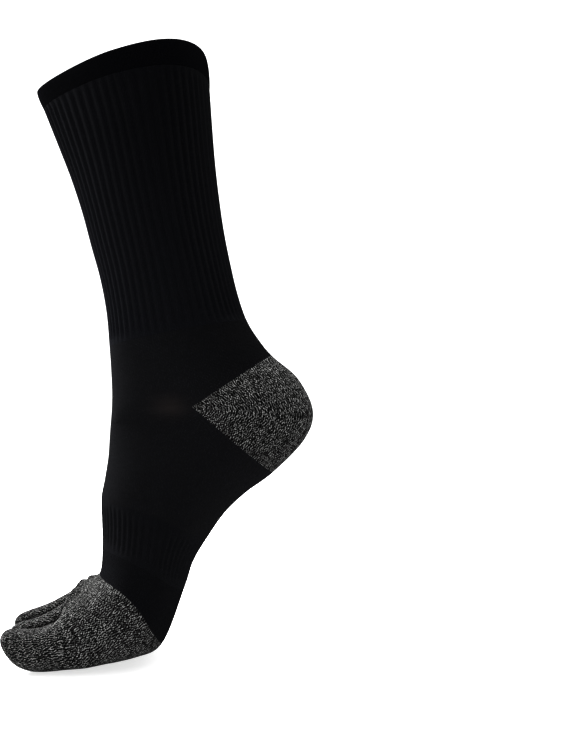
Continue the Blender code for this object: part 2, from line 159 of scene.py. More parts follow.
# %% Panels of knitting
WALE = 0.0014                   # width of one stitch, metres
COURSE = 0.0009                 # height of one stitch, metres
LEG_WALES = RIB_COUNT * 4       # columns of stitches once round the leg
PLAIN_WALES = 170               # the same for the plain foot


def read_all(things, name, width):
    """One property of all points, faces or corners of a mesh, a row for each."""
    values = np.empty(len(things) * width, dtype=int if name in ("vertex_index", "loop_total") else float)
    things.foreach_get(name, values)
    return values.reshape(-1, width) if width > 1 else values


def lay_panel(name, points, wales, soft=(0, -1), even=False):
    """A grid whose rows and columns are laid on an array of points, with its UV map in stitches.

    soft: first and last row of the points that the smoothing of a seam may move. even: wales go by columns,
    as in ribs, and not by the way around.
    """
    rows, cols = points.shape[0] - 1, points.shape[1] - 1
    bpy.ops.object.select_all(action="DESELECT")
    bpy.ops.mesh.primitive_grid_add(x_subdivisions=cols, y_subdivisions=rows, size=1, calc_uvs=True)
    panel = bpy.context.object
    panel.name = name
    mesh = panel.data
    mesh.name = name
    flat = read_all(mesh.vertices, "co", 3)
    col = np.rint((flat[:, 0] + 0.5) * cols).astype(int)
    row = np.rint((flat[:, 1] + 0.5) * rows).astype(int)
    mesh.vertices.foreach_set("co", points[row, col].ravel())
    if even:
        around = np.tile(np.linspace(0, wales, cols + 1), (rows + 1, 1))
    else:
        steps = np.linalg.norm(np.diff(points, axis=1), axis=-1)
        around = np.concatenate([np.zeros((rows + 1, 1)), np.cumsum(steps, axis=1)], axis=1)
        around = around / (around[:, -1:] + 1e-9) * wales
    lengths = np.linalg.norm(np.diff(points, axis=0), axis=-1)
    courses = np.concatenate([np.zeros((1, cols + 1)), np.cumsum(lengths, axis=0)]) / COURSE
    corner = read_all(mesh.loops, "vertex_index", 1)
    stitches = np.stack([around[row[corner], col[corner]], courses[row[corner], col[corner]]], axis=-1)
    mesh.uv_layers[0].data.foreach_set("uv", stitches.ravel())
    mesh.uv_layers[0].name = "stitches"
    mesh.update()
    loose = np.where((row >= soft[0]) & (row <= soft[1]))[0]
    panel.vertex_groups.new(name="seam").add([int(k) for k in loose], 1.0, "REPLACE")
    return panel


print("stitch", WALE * 1000, "by", COURSE * 1000, "mm")

# %% [markdown]
# A laid panel is then sewn up: the two edges that meet are merged, its faces are turned outwards, and
# Solidify gives it the thickness of the cloth, always inwards, so that the outer skin keeps its place. The
# normals are put right before the wall is made, because on a closed wall that would turn its inside round.

# %% Seams and thickness
SEAM_REACH = 2e-6       # metres
FACET_ANGLE = 60        # degrees, an edge that is sharper than this stays sharp


def only(piece):
    """Makes one object the only one that operators act on."""
    if bpy.context.object and bpy.context.object.mode != "OBJECT":
        bpy.ops.object.mode_set(mode="OBJECT")
    bpy.ops.object.select_all(action="DESELECT")
    piece.select_set(True)
    bpy.context.view_layer.objects.active = piece


def edit_all(piece):
    """Opens a piece for editing with everything selected."""
    only(piece)
    bpy.ops.object.mode_set(mode="EDIT")
    bpy.ops.mesh.select_all(action="SELECT")


def close_seams(piece, reach=SEAM_REACH):
    """Merges points that lie on each other and turns all faces outwards."""
    edit_all(piece)
    bpy.ops.mesh.remove_doubles(threshold=reach)
    bpy.ops.mesh.normals_make_consistent(inside=False)
    bpy.ops.object.mode_set(mode="OBJECT")


def face_out(piece):
    """Flips an open tube whose faces look inwards."""
    normal, centre = (read_all(piece.data.polygons, name, 3) for name in ("normal", "center"))
    if np.sum(normal * (centre - centre.mean(axis=0))) < 0:
        edit_all(piece)
        bpy.ops.mesh.flip_normals()
        bpy.ops.object.mode_set(mode="OBJECT")


def thicken(piece, wall):
    """Gives a panel its thickness inwards and smooths its faces."""
    only(piece)
    solid = piece.modifiers.new("wall", "SOLIDIFY")
    solid.thickness = wall
    solid.offset = -1.0
    bpy.ops.object.modifier_apply(modifier=solid.name)
    bpy.ops.object.shade_smooth_by_angle(angle=math.radians(FACET_ANGLE))
    print(piece.name, len(piece.data.polygons), "faces")


def knit_tube(name, points, wales, wall, even=False):
    """A panel that is closed to an open tube of cloth."""
    tube = lay_panel(name, points, wales, even=even)
    close_seams(tube)
    face_out(tube)
    thicken(tube, wall)
    return tube


print("points closer than", SEAM_REACH * 1e6, "micrometres are merged")

# %% [markdown]
# The leg is rib knit: columns of stitches that stand forward, with columns that sink between them. Modelled
# ribs catch the light along their whole length and roughen the outline, which a painted pattern can't. A
# rounded ridge with a narrow groove is added along the outward direction, and it fades where the plain
# knit begins.

# %% Ribbed leg
LEG_WALL = 0.0020
LEG_RINGS = 57
RIB_HEIGHT = 0.0011
RIB_SHARPNESS = 0.75
RIB_FADES = (0.18, 0.35)            # rows of the table at the top and at the ankle
RIB_POINTS = 8
full_turn = np.linspace(0, 2 * np.pi, RIB_COUNT * RIB_POINTS + 1)


def smooth(value):
    """Eases 0 to 1."""
    value = np.clip(value, 0.0, 1.0)
    return value * value * (3 - 2 * value)


def rib_shape(angles):
    """1 on the crest of each rib, 0 in its groove."""
    return (0.5 + 0.5 * np.cos(angles * RIB_COUNT)) ** RIB_SHARPNESS


def ribbed(places, angles, height, fades):
    """Skin points with ribs let into them, which fade out at both ends."""
    points, out = skin_points(places, angles), facing_out(places, angles)
    strength = smooth((places - places[0]) / fades[0]) * smooth((places[-1] - places) / fades[1])
    depth = height * strength[:, None] * (1 - rib_shape(angles))[None, :]
    return points - out * depth[..., None]


leg_places = np.linspace(NAMES.index("cuff_low"), NAMES.index("rib_end"), LEG_RINGS)
leg_skin = ribbed(leg_places, full_turn, RIB_HEIGHT, RIB_FADES)
leg = knit_tube("leg_ribs", leg_skin, LEG_WALES, LEG_WALL, even=True)

# %% [markdown]
# The cuff is a welt: the knitting is folded over and joined to itself, so it is thick, and its top edge is
# a soft roll and not a cut. Its section is drawn as a closed loop, up the inside, over the roll and down
# the outside, and is carried around the leg. A shallow groove parts it from the ribs.

# %% Folded cuff
CUFF_WALL = 0.0025
CUFF_PUFF = 0.0005
CUFF_ROWS = 34
CUFF_LOW = NAMES.index("cuff_low") - 0.012      # rows of the table: the groove above the ribs
ROLL_PLACE = 0.11                               # row at which the roll of the rim begins
ROLL_START, ROLL_END = 0.36, 0.64               # shares of the way round the section
CUFF_FACET_ANGLE = 70


def cuff_section(share):
    """Depth below the skin and place along the cuff for a share of the way round the section."""
    half = CUFF_WALL / 2
    if share < ROLL_START:
        return CUFF_WALL, CUFF_LOW + (ROLL_PLACE - CUFF_LOW) * share / ROLL_START
    if share < ROLL_END:
        turn = (share - ROLL_START) / (ROLL_END - ROLL_START) * math.pi
        return half + half * math.cos(turn), ROLL_PLACE * (1 - math.sin(turn))
    down = (share - ROLL_END) / (1 - ROLL_END)
    puff = CUFF_PUFF * math.sin(math.pi * min(1.0, down * 1.02)) ** 0.6
    return -puff, ROLL_PLACE + (CUFF_LOW - ROLL_PLACE) * down


cuff_turn = np.linspace(0, 2 * np.pi, LEG_WALES + 1)
section = [cuff_section(k / CUFF_ROWS) for k in range(CUFF_ROWS + 1)]
section.append(section[0])
cuff_depth, cuff_places = np.array(section).T
cuff_out = facing_out(cuff_places, cuff_turn)
cuff_points = skin_points(cuff_places, cuff_turn) - cuff_out * cuff_depth[:, None, None]
cuff = lay_panel("cuff_welt", cuff_points, LEG_WALES)
close_seams(cuff)
only(cuff)
bpy.ops.object.shade_smooth_by_angle(angle=math.radians(CUFF_FACET_ANGLE))
print("cuff_welt", len(cuff.data.polygons), "faces")

# %% [markdown]
# Ankle and heel are one panel at first, so that their shared edge fits. The heel of such a sock is a wedge
# of extra rows, and its two straight edges run from a point on the ankle to the back of the heel. The
# panel is bisected along both edges, and the faces between them are separated as the heel.

# %% Plain ankle and heel wedge
FOOT_WALL = 0.0018
ANKLE_RINGS = 91
WEDGE_TIP = (0.243, 0.550)          # shares of the sock's length and height
WEDGE_UPPER = (0.860, 0.335)
WEDGE_LOWER = (0.860, 0.832)
CUT_AHEAD = 0.004                   # the cuts begin this far before the wedge's point
PLAIN_POINTS = 208                  # once round the plain foot
plain_turn = np.linspace(0, 2 * np.pi, PLAIN_POINTS + 1)
ankle_places = np.linspace(NAMES.index("rib_end"), NAMES.index("arch_start"), ANKLE_RINGS)
ankle = lay_panel("ankle_plain", skin_points(ankle_places, plain_turn), PLAIN_WALES)
close_seams(ankle)
face_out(ankle)


def side_plane(share):
    """A place of the side plane, in metres, from its shares."""
    return np.array([share[0] * SOCK_LENGTH, 0.0, -share[1] * SOCK_HEIGHT])


wedge_tip = side_plane(WEDGE_TIP)
upper_run = side_plane(WEDGE_UPPER) - wedge_tip
lower_run = side_plane(WEDGE_LOWER) - wedge_tip
upper_down = np.array([upper_run[2], 0.0, -upper_run[0]]) / np.linalg.norm(upper_run)
lower_up = np.array([-lower_run[2], 0.0, lower_run[0]]) / np.linalg.norm(lower_run)


def select_faces(piece, test):
    """Selects the faces whose middle passes a test, in object mode."""
    mesh = piece.data
    chosen = test(read_all(mesh.polygons, "center", 3))
    mesh.vertices.foreach_set("select", np.zeros(len(mesh.vertices), dtype=bool))
    mesh.edges.foreach_set("select", np.zeros(len(mesh.edges), dtype=bool))
    mesh.polygons.foreach_set("select", chosen)
    mesh.update()
    return int(chosen.sum())


def behind_tip(middles):
    """Faces near the wedge's point or further back, which the cuts reach."""
    return middles[:, 0] - wedge_tip[0] > -CUT_AHEAD


def in_wedge(middles):
    """Faces between the two edges of the wedge."""
    from_tip = middles - wedge_tip
    return (from_tip @ upper_down > 0) & (from_tip @ lower_up > 0)


for edge_normal in (upper_down, lower_up):
    only(ankle)
    select_faces(ankle, behind_tip)
    bpy.ops.object.mode_set(mode="EDIT")
    bpy.ops.mesh.select_mode(type="FACE")
    bpy.ops.mesh.bisect(plane_co=tuple(wedge_tip), plane_no=tuple(edge_normal))
    bpy.ops.object.mode_set(mode="OBJECT")
found = select_faces(ankle, in_wedge)
bpy.ops.object.mode_set(mode="EDIT")
bpy.ops.mesh.separate(type="SELECTED")
bpy.ops.object.mode_set(mode="OBJECT")
heel = [piece for piece in bpy.context.selected_objects if piece is not ankle][0]
heel.name = "heel_wedge"
heel.data.name = "heel_wedge"
print("faces of the heel wedge", found)

# %% [markdown]
# The heel's rows don't run around the tube. In the upper half they lie along the upper edge, and in the
# lower half along the lower one, and they meet on a line from the wedge's point to the back. Its stitch
# map is drawn that way before the wall gets its thickness. A face is all in one half or all in the other,
# because rows that change inside a face would smear.

# %% Stitch map of the heel
HEEL_WALES = 1.15       # the heel's columns are a little closer
HALVES_APART = 0.2      # keeps the row numbers of the two halves from meeting


def draw_heel_rows(piece):
    """Numbers the rows of the wedge from its two edges."""
    mesh = piece.data
    uv = mesh.uv_layers["stitches"].data
    corner_place = read_all(mesh.vertices, "co", 3)[read_all(mesh.loops, "vertex_index", 1)]
    rows_down, rows_up = ((corner_place - wedge_tip) @ inward for inward in (upper_down, lower_up))
    corners = read_all(mesh.polygons, "loop_total", 1)
    in_upper_half = np.add.reduceat(rows_down - rows_up, np.cumsum(corners) - corners) < 0
    row = np.where(np.repeat(in_upper_half, corners), rows_down, HALVES_APART - rows_up) / COURSE
    wale = read_all(uv, "uv", 2)[:, 0] * HEEL_WALES
    uv.foreach_set("uv", np.stack([wale, row], axis=-1).ravel())


draw_heel_rows(heel)
thicken(ankle, FOOT_WALL)
thicken(heel, FOOT_WALL)

# %% [markdown]
# Some looks need a number at each point of a piece, such as how far it is pulled. Blender keeps such a
# number as an attribute of the mesh, and a material can read it by its name.

# %% Numbers kept on the points


def mark(piece, name, values):
    """Keeps one number for each point."""
    layer = piece.data.attributes.get(name) or piece.data.attributes.new(name, "FLOAT", "POINT")
    layer.data.foreach_set("value", np.asarray(values, dtype=np.float32))


def marks(piece, name):
    """The numbers that are kept under a name."""
    return read_all(piece.data.attributes[name].data, "value", 1)


def vertex_places(piece):
    """Where the points of a piece lie, a row for each."""
    return read_all(piece.data.vertices, "co", 3)


def search_tree(points):
    """A tree that finds the nearest of many points."""
    tree = KDTree(len(points))
    for k, point in enumerate(points):
        tree.insert(point, k)
    tree.balance()
    return tree


def nearest_values(piece, points, values):
    """The value that belongs to the point nearest each point of the piece."""
    wanted = np.broadcast_to(values, points.shape[:2]).ravel()
    tree = search_tree(points.reshape(-1, 3))
    return np.array([wanted[tree.find(place)[1]] for place in vertex_places(piece)])


print("helpers for the numbers at the points are ready")

# %% [markdown]
# Just before the wedge's point, over the ankle bone, the black knit gets a painted highlight: it is lighter
# and warmer there. Each point of the ankle keeps how strong the painted highlight is, and the material reads
# it.

# %% Painted highlight before the wedge
HIGHLIGHT_AHEAD, HIGHLIGHT_LONG, HIGHLIGHT_HIGH = 0.013, 0.010, 0.006
from_spot = vertex_places(ankle) - (wedge_tip - np.array([HIGHLIGHT_AHEAD, 0.0, 0.0]))
highlight = np.exp(-(from_spot[:, 0] / HIGHLIGHT_LONG) ** 2 - (from_spot[:, 2] / HIGHLIGHT_HIGH) ** 2)
mark(ankle, "highlight", highlight)
print("points of the ankle that are pulled thin:", int((highlight > 0.5).sum()))

# %% [markdown]
# Around the arch the knit turns to rib again, finer and shallower than on the leg, so that it grips the
# foot. Below it a plain black ring leads to the grey forefoot.

# %% Arch rib and plain ring
ARCH_RINGS = 25
BALL_RINGS = 15
ARCH_RIB = 0.0007
ARCH_FADES = (0.5, 0.5)
arch_places = np.linspace(NAMES.index("arch_start"), NAMES.index("arch_end"), ARCH_RINGS)
arch_skin = ribbed(arch_places, full_turn, ARCH_RIB, ARCH_FADES)
arch = knit_tube("arch_ribs", arch_skin, LEG_WALES, FOOT_WALL, even=True)

ball_places = np.linspace(NAMES.index("arch_end"), NAMES.index("ball"), BALL_RINGS)
ball = knit_tube("ball_plain", skin_points(ball_places, plain_turn), PLAIN_WALES, FOOT_WALL)

# %% [markdown]
# The forefoot ends in five slices, one for each toe. The rings there are divided so that every slice
# begins and ends on a point, and the skin dips between two toes as it nears their roots.

# %% Forefoot
# Each row: name, where its slice begins and ends, its tip, height, drift to the side, dip, arch, lift of the
# tip, how fast the root's height fades, and segments across the slice.
TOES = (
    ("big_toe", -1.000, -0.392, -0.326, 0.226, -0.012, 0.008, 0.0, 0.14, 3.6, 7),
    ("second_toe", -0.392, 0.029, -0.330, 0.220, -0.008, 0.014, 0.9, 0.00, 2.0, 4),
    ("third_toe", 0.029, 0.392, -0.337, 0.213, -0.004, 0.000, 1.0, 0.03, 1.8, 4),
    ("fourth_toe", 0.392, 0.716, -0.276, 0.200, -0.010, 0.010, 1.0, 0.00, 1.8, 4),
    ("little_toe", 0.716, 1.000, -0.208, 0.185, -0.008, 0.010, 0.8, 0.00, 1.8, 5),
)
FINE = 4                # points for each segment of a slice
FORE_RINGS = 29
FORE_LOOSE = 8          # rings before the toes that the smoothing of the seam may move
VALLEY_DEPTH = 0.0055
VALLEY_FROM = 0.40      # share of the forefoot at which the valleys begin
VALLEY_EASE = 1.6       # more begins them more gently
VALLEY_NARROW = 2.4     # more keeps them closer to the line between two toes


def slice_angles():
    """Angles of a forefoot ring, with each toe's slice on a whole number of steps, and once round."""
    half = []
    for kind in ("square", "sole_square"):
        power = TABLE[-1][COLUMNS.index(kind)] / 2
        bounds = [math.copysign(math.asin(abs(toe[1]) ** power), toe[1]) for toe in TOES] + [math.pi / 2]
        line = []
        for number, toe in enumerate(TOES):
            steps = toe[-1] * FINE
            line += [bounds[number] + (bounds[number + 1] - bounds[number]) * k / steps for k in range(steps)]
        half.append(line)
    top, sole = half
    return np.array(top + [math.pi - angle for angle in [math.pi / 2] + sole[:0:-1]])


def valley(angle):
    """0 on the ridge of a toe and 1 between two toes, at the toe_root ring."""
    power = 2 / TABLE[-1][COLUMNS.index("square" if math.cos(angle) > 0 else "sole_square")]
    share = math.copysign(abs(math.sin(angle)) ** power, math.sin(angle))
    for number, (_, low, high, *_) in enumerate(TOES):
        if low - 1e-6 <= share <= high + 1e-6:
            offset = (share - (low + high) / 2) / ((high - low) / 2)
            outer = (number == 0 and offset < 0) or (number == len(TOES) - 1 and offset > 0)
            return 0.0 if outer else abs(offset) ** VALLEY_NARROW
    return 0.0


fore_angles = slice_angles()
fore_places = np.linspace(NAMES.index("ball"), LAST, FORE_RINGS)
closed = np.append(fore_angles, fore_angles[0] + 2 * np.pi)
fore_points = skin_points(fore_places, closed)
past_start = (np.linspace(0, 1, FORE_RINGS) - VALLEY_FROM) / (1 - VALLEY_FROM)
fade = np.clip(past_start, 0, 1)[:, None] ** VALLEY_EASE
dips = np.array([valley(angle) for angle in closed])[None, :]
middle_z = fore_points[..., 2].mean(axis=1, keepdims=True)
fore_points[..., 2] += np.sign(middle_z - fore_points[..., 2]) * VALLEY_DEPTH * fade * dips
fore_seam = (FORE_RINGS - FORE_LOOSE, FORE_RINGS - 1)
forefoot = lay_panel("forefoot_and_toes", fore_points, PLAIN_WALES, soft=fore_seam)
mark(forefoot, "toe", np.zeros(len(forefoot.data.vertices)))
# Painted shade: the valleys between the toes get a crease mark, which the marl material darkens.
mark(forefoot, "crease", nearest_values(forefoot, fore_points, dips ** 3 * fade))
root_ring = fore_points[-1][:-1]
print("root ring points", len(root_ring))

# %% [markdown]
# Each toe pocket is a small tube of its own. It begins with the outline of its slice, whose inner sides are
# straight because two pockets share them, and turns into a free oval. A short table says, along the toe, how
# high its top and its sole lie, how far the knuckle stands up, and how wide the toe is.

# %% Table of a toe
# Each row: share of the toe's length, top, sole, knuckle, width.
TOE_PROFILE = np.array((
    (0.00, 1.00, 0.00, 0.14, 1.000),
    (0.12, 1.00, 0.00, 0.14, 0.972),
    (0.34, 1.00, -0.03, 0.12, 0.930),
    (0.58, 0.99, -0.02, 0.04, 0.950),
    (0.76, 0.97, 0.06, 0.01, 0.940),
    (1.00, 0.95, 0.12, 0.00, 0.930),
))


def profile_at(along):
    """Top, sole, knuckle and width at any share of a toe's length, smoothly."""
    xs, ys = TOE_PROFILE[:, 0], TOE_PROFILE[:, 1:]
    slopes = np.gradient(ys, xs, axis=0)
    k = int(np.clip(np.searchsorted(xs, along) - 1, 0, len(xs) - 2))
    width = xs[k + 1] - xs[k]
    t = (along - xs[k]) / width
    value = (2 * t ** 3 - 3 * t ** 2 + 1) * ys[k] + (t ** 3 - 2 * t ** 2 + t) * slopes[k] * width
    return value + (3 * t ** 2 - 2 * t ** 3) * ys[k + 1] + (t ** 3 - t ** 2) * slopes[k + 1] * width


print("half-way along a toe", [round(float(value), 3) for value in profile_at(0.5)])

# %% [markdown]
# The outline that a pocket begins with is read from the last ring of the forefoot, so the two share their
# points. Each of these points also has a turn, the angle of the free oval that it will move to.

# %% Root of a toe pocket
WALL_STEPS = 4 * FINE


def toe_outline(number):
    """The slice of the root ring that a toe begins with, and the turn of each of its points, closed."""
    steps = TOES[number][-1] * FINE
    first = sum(toe[-1] for toe in TOES[:number]) * FINE
    total = len(root_ring)
    top = root_ring[[(first + k) % total for k in range(steps + 1)]]
    sole = root_ring[[(total - first - k) % total for k in range(steps + 1)]][::-1]
    is_first, is_last = number == 0, number == len(TOES) - 1
    start, stop = (-90.0 if is_first else -45.0), (90.0 if is_last else 45.0)
    cell, turns = list(top), list(np.linspace(start, stop, steps + 1))
    inner = [k / WALL_STEPS for k in range(1, WALL_STEPS)]
    if not is_last:
        cell += [top[-1] + (sole[0] - top[-1]) * k for k in inner]
        turns += [45 + 90 * k for k in inner]
        cell += list(sole)
        turns += list(np.linspace(180 - stop, 180 - start, steps + 1))
    else:
        cell += list(sole[1:])
        turns += list(np.linspace(180 - stop, 180 - start, steps + 1)[1:])
    if not is_first:
        cell += [sole[-1] + (top[0] - sole[-1]) * k for k in inner]
        turns += [225 + 90 * k for k in inner]
        cell.append(top[0])
        turns.append(start + 360)
    return np.array(cell), np.radians(turns)


print("points round each toe:", [len(toe_outline(number)[0]) for number in range(len(TOES))])

# %% [markdown]
# From there, ring after ring leads to the tip. Near the root a ring still has the form of its slice, held by
# its neighbours, and further out it is the free oval. The end closes like a dome, so its rows shrink to a
# point as they do in the real pocket.

# %% Rings of a toe pocket
TOE_ROWS = 44
FREE_FROM = 0.38        # share of its length from which a toe is all free
CAP_FROM = 0.70         # share at which the dome begins
OVAL = 0.92             # 1 would be a plain ellipse, less is fuller
CAP_WIDTH = 0.75        # the dome keeps its width longer than its height
TOE_TIP_HEIGHT = 0.61


def toe_points(number):
    """All rings of a toe pocket, root to tip."""
    tip_x, height, drift, dip, arch, lift, fall = TOES[number][3:-1]
    cell, turns = toe_outline(number)
    oval_y, oval_z = (np.sign(wave) * np.abs(wave) ** OVAL for wave in (np.sin(turns), np.cos(turns)))
    base_z = cell[:, 2].min()
    root_top = cell[:, 2].max() - base_z
    middle_x = cell[:-1, 0].mean()
    middle_y = (cell[:, 1].min() + cell[:, 1].max()) / 2
    half, tall = np.ptp(cell[:, 1]) / 2, height * FOOT_WIDTH
    length = middle_x - tip_x * SOCK_LENGTH
    tip_z = base_z + tall * (TOE_TIP_HEIGHT + lift)
    extra_root = root_top - tall * (1 + TOE_PROFILE[0, 3] * arch)
    rings = []
    for step in range(TOE_ROWS + 1):
        along = 1 - (1 - step / TOE_ROWS) ** 1.5
        top_share, sole_share, knuckle, width = profile_at(along)
        free = float(smooth(along / FREE_FROM))
        sag = dip * FOOT_WIDTH * 4 * along * (1 - along) - tall * lift * along ** 6
        crown = tall * (top_share + knuckle * arch) + extra_root * (1 - along) ** fall
        low_z = base_z + tall * sole_share - sag
        half_z = (base_z + crown - sag - low_z) / 2
        dome = max(0.0, (along - CAP_FROM) / (1 - CAP_FROM)) ** 2
        cap = math.sqrt(max(0.0, 1 - dome))
        centre = np.array([middle_x - length * along, middle_y + drift * FOOT_WIDTH * along,
                           (low_z + half_z) * (1 - dome) + tip_z * dome])
        wide = half * width * cap ** CAP_WIDTH
        half_z *= cap
        oval = centre + np.stack([np.zeros_like(turns), oval_y * wide, oval_z * half_z], axis=-1)
        held_x = (cell[:, 0] - middle_x) * (1 - along) ** 2
        held_y = (cell[:, 1] - middle_y) * wide / half
        held_z = (cell[:, 2] - base_z) / root_top * 2 * half_z - half_z
        held = centre + np.stack([held_x, held_y, held_z], axis=-1)
        rings.append(held * (1 - free) + oval * free)
    return np.array(rings)


toe_rings = [toe_points(number) for number in range(len(TOES))]
toe_girths = [girth_of(rings[len(rings) // 2]) for rings in toe_rings]
print("toe girths mm", [round(girth * 1000, 1) for girth in toe_girths])

# %% [markdown]
# All five pockets are joined to the forefoot and their shared points merged, as in a glove. A few rows on
# both sides of the seam are then smoothed, because the knit runs on there without a fold. Last, each point
# keeps how near it lies to another toe: little light gets down there, and the material darkens it.

# %% Five toe pockets
TOE_WALL = 0.0016
TOE_LOOSE = 7           # last ring of a pocket that the smoothing of the seam may move
TOE_SEAM_REACH = 8e-6
SEAM_SMOOTHINGS = 14
CREASE_REACH = 0.0080


def darken_between_toes(piece, reach):
    """Marks how near each point of a toe pocket lies to another pocket, for the painted shade between toes.
    """
    places, toe, crease = vertex_places(piece), np.round(marks(piece, "toe")), marks(piece, "crease")
    for number in range(1, len(TOES) + 1):
        tree = search_tree(places[(toe > 0) & (toe != number)])
        for k in np.flatnonzero(toe == number):
            gap = tree.find(places[k])[2]
            crease[k] = max(crease[k], 1 - min(1.0, gap / reach) ** 3)
    mark(piece, "crease", crease)
    print(piece.name, "points in a crease:", int((crease > 0.5).sum()))


pockets = []
for number, (rings, girth) in enumerate(zip(toe_rings, toe_girths)):
    pocket = lay_panel(TOES[number][0] + "_pocket", rings, round(girth / WALE), soft=(0, TOE_LOOSE))
    mark(pocket, "toe", np.full(len(pocket.data.vertices), number + 1.0))
    mark(pocket, "crease", np.zeros(len(pocket.data.vertices)))
    pockets.append(pocket)
only(forefoot)
for pocket in pockets:
    pocket.select_set(True)
bpy.ops.object.join()
close_seams(forefoot, TOE_SEAM_REACH)
bpy.ops.object.mode_set(mode="EDIT")
bpy.ops.mesh.select_all(action="DESELECT")
forefoot.vertex_groups.active_index = forefoot.vertex_groups["seam"].index
bpy.ops.object.vertex_group_select()
bpy.ops.mesh.vertices_smooth(factor=0.5, repeat=SEAM_SMOOTHINGS)
bpy.ops.object.mode_set(mode="OBJECT")
darken_between_toes(forefoot, CREASE_REACH)
face_out(forefoot)
thicken(forefoot, TOE_WALL)

# %% [markdown]
# ## The yarn
# The yarn is matt cotton. Black yarn is never quite black: it takes a little light on each stitch, and its
# loose fibres brighten where the cloth turns away from the eye. The marl yarn twists a black and a pale
# strand together, so short pale dots show by chance along its rows. Both looks are built from one drawing of
# the stitches, made once as a shader node group that only puts out numbers. A few short helpers add the
# nodes, so that the lines further down read like the sums that they are.

# %% Node helpers


def set_input(tree, socket, value):
    """Links a socket, or sets it to a value."""
    if isinstance(value, bpy.types.NodeSocket):
        tree.links.new(value, socket)
    else:
        socket.default_value = value


def add_node(tree, kind, inputs=None, **settings):
    """A shader node with its settings, and its inputs linked or set."""
    node = tree.nodes.new("ShaderNode" + kind)
    for name, value in settings.items():
        setattr(node, name, value)
    for label, value in (inputs or {}).items():
        set_input(tree, node.inputs[label], value)
    return node


def maths(tree, operation, *values, clamp=False):
    """The result of one maths node."""
    return add_node(tree, "Math", dict(enumerate(values)), operation=operation, use_clamp=clamp).outputs[0]


def blend(tree, factor, first, second):
    """Two colours mixed, each a socket or three numbers."""
    first, second = (c if isinstance(c, bpy.types.NodeSocket) else (*c, 1.0) for c in (first, second))
    mix = add_node(tree, "Mix", {"Factor": factor, "A": first, "B": second}, data_type="RGBA")
    return mix.outputs["Result"]


def new_group(name, inputs, outputs):
    """An empty node group with its sockets, and its two end nodes."""
    group = bpy.data.node_groups.new(name, "ShaderNodeTree")
    for label, kind in inputs:
        group.interface.new_socket(label, in_out="INPUT", socket_type=kind)
    for label in outputs:
        group.interface.new_socket(label, in_out="OUTPUT", socket_type="NodeSocketFloat")
    return group, group.nodes.new("NodeGroupInput"), group.nodes.new("NodeGroupOutput")


print("node helpers ready")

# %% [markdown]
# Plain knitting shows columns of small V shapes. Inside one stitch the two legs lean away from the middle
# line, so the row number rises with the distance from that line. A sine across each leg and one along it
# make the rounded yarn. The group puts out that height, and the row, so that the marl yarn can change its
# strands from course to course.

# %% The stitch drawing as a node group
LEG_SLANT = 0.55        # courses that a stitch leg rises from the middle to the side
stitch, given, result = new_group("knit_stitches", [("Stitches", "NodeSocketVector")], ["Height", "Row"])
split = add_node(stitch, "SeparateXYZ", {0: given.outputs["Stitches"]})
off_middle = maths(stitch, "SUBTRACT", maths(stitch, "FRACT", split.outputs["X"]), 0.5)
from_middle = maths(stitch, "MULTIPLY", maths(stitch, "ABSOLUTE", off_middle), 2.0)
slanted = maths(stitch, "SUBTRACT", split.outputs["Y"], maths(stitch, "MULTIPLY", from_middle, LEG_SLANT))
round_leg = maths(stitch, "SINE", maths(stitch, "MULTIPLY", maths(stitch, "FRACT", slanted), math.pi))
round_side = maths(stitch, "SINE", maths(stitch, "MULTIPLY", from_middle, math.pi))
full_leg, full_side = maths(stitch, "POWER", round_leg, 0.7), maths(stitch, "POWER", round_side, 0.5)
set_input(stitch, result.inputs["Height"], maths(stitch, "MULTIPLY", full_leg, full_side))
set_input(stitch, result.inputs["Row"], slanted)
print(stitch.name, len(stitch.nodes), "nodes")

# %% [markdown]
# The marl yarn is twisted from a black and a pale strand. The twist has its own pitch, which is not that of
# the stitches, so along each course short light dots take turns with longer dark ones, and every course
# starts at another place of the turn. Chance draws how light each dot is. The dots keep apart from each
# other, which gives the fine and crisp salt-and-pepper of the real cloth without blots.

# %% The marl twist as a node group
TURNS = 1.05            # turns of the twist in one stitch
DOT = 0.35              # share of a turn in which the pale strand shows
LEAST_PALE = 0.05
BLOCKS = 0.72           # places per stitch at which the twist may start anew
CLOUD_SCALE = 90.0      # wide soft patches where the yarn is a little lighter
CLOUD_LEAST, CLOUD_MORE = 0.88, 0.24
marl, given, result = new_group(
    "marl_twist",
    [("Stitches", "NodeSocketVector"), ("Row", "NodeSocketFloat"), ("Place", "NodeSocketVector")], ["Pale"])
wale = add_node(marl, "SeparateXYZ", {0: given.outputs["Stitches"]}).outputs["X"]
course = maths(marl, "FLOOR", given.outputs["Row"])


def drawn(first, second, third):
    """A number that chance draws for three whole numbers."""
    key = add_node(marl, "CombineXYZ", {0: first, 1: second, 2: third}).outputs[0]
    noise = add_node(marl, "TexWhiteNoise", {"Vector": key}, noise_dimensions="3D")
    return add_node(marl, "SeparateColor", {0: noise.outputs["Color"]}).outputs[0]


start = drawn(maths(marl, "FLOOR", maths(marl, "MULTIPLY", wale, BLOCKS)), course, 0.0)
turn = maths(marl, "ADD", maths(marl, "MULTIPLY", wale, TURNS), start)
chance = drawn(maths(marl, "FLOOR", turn), course, 7.0)
shows = maths(marl, "LESS_THAN", maths(marl, "FRACT", turn), DOT)
amount = maths(marl, "ADD", maths(marl, "MULTIPLY", chance, 1 - LEAST_PALE), LEAST_PALE)
pale = maths(marl, "MULTIPLY", shows, amount)
cloud = add_node(marl, "TexNoise", {"Vector": given.outputs["Place"], "Scale": CLOUD_SCALE, "Detail": 2.0})
lift = maths(marl, "ADD", maths(marl, "MULTIPLY", cloud.outputs["Fac"], CLOUD_MORE), CLOUD_LEAST)
set_input(marl, result.inputs["Pale"], maths(marl, "MULTIPLY", pale, lift, clamp=True))
print(marl.name, len(marl.nodes), "nodes")
